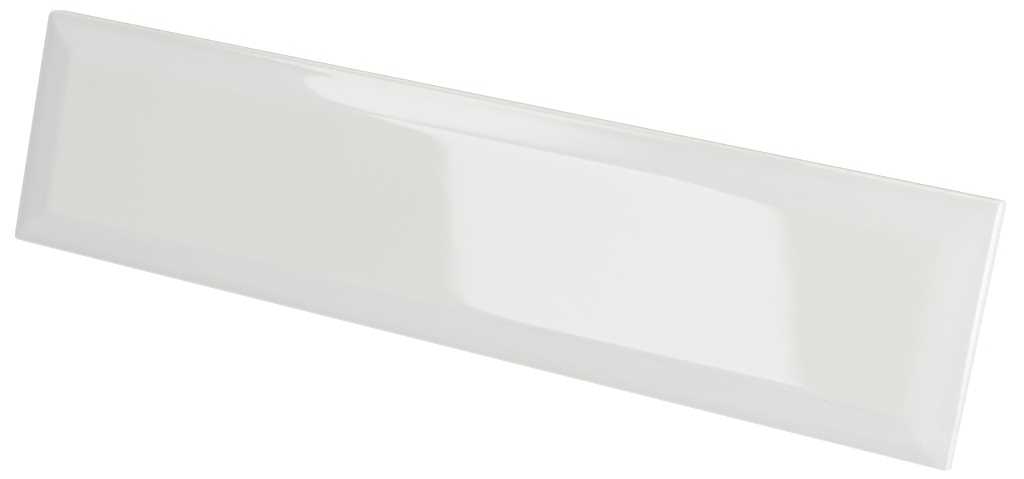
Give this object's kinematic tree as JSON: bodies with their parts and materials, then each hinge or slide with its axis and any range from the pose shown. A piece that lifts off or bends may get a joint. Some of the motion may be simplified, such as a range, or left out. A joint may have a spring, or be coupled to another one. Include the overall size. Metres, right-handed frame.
{
  "type": "bevelled subway wall tile",
  "caption": "Long glazed ceramic wall tile with a flat centre field, a soft bevel on every side, rounded rim and a ribbed back that keys into adhesive.",
  "frame": {"origin": "centre of the back plane, the plane of the ribs that the tile lies on", "axes": "+X along the length, +Y across the width, +Z out of the glazed face; the tile lies on its back"},
  "size_m": [0.3032, 0.0746, 0.009],
  "materials": {
    "glaze": "gloss"
  },
  "bodies": {
    "root": {"tile": "glaze"}
  },
  "joints": []
}
